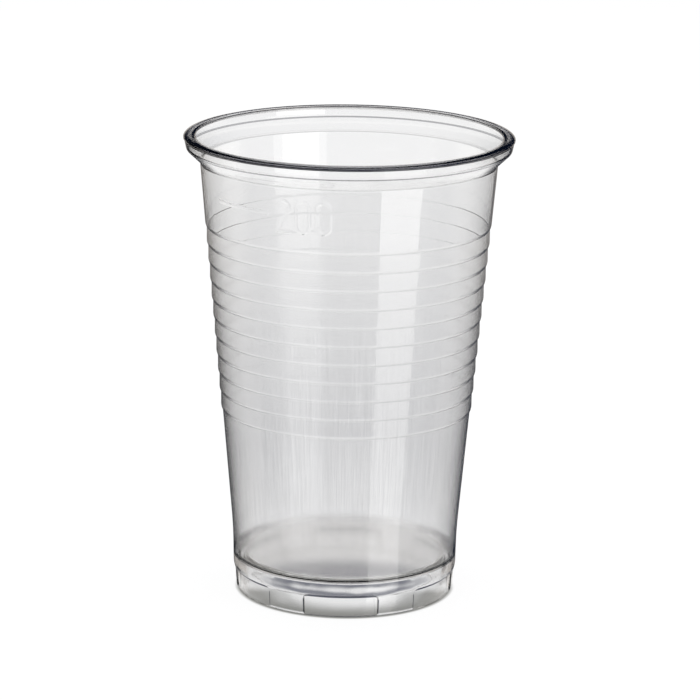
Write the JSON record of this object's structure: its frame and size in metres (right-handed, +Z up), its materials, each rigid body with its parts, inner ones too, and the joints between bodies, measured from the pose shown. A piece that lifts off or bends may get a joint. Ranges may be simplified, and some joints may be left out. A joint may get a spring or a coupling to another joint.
{
  "type": "disposable drinking cup",
  "caption": "Clear tapered one-piece plastic drinking cup with a rolled rim, a stacking shoulder, stepped grip bands and a panelled foot ring.",
  "frame": {"origin": "centre of the foot ring, on the surface the cup stands on", "axes": "+Z up along the cup's axis, out of its mouth; the first foot panel faces -Y"},
  "size_m": [0.0702, 0.0702, 0.0997],
  "materials": {
    "clear_plastic": "clear and glossy, with fine upright draw lines"
  },
  "bodies": {
    "root": {"cup": "clear_plastic"}
  },
  "joints": []
}
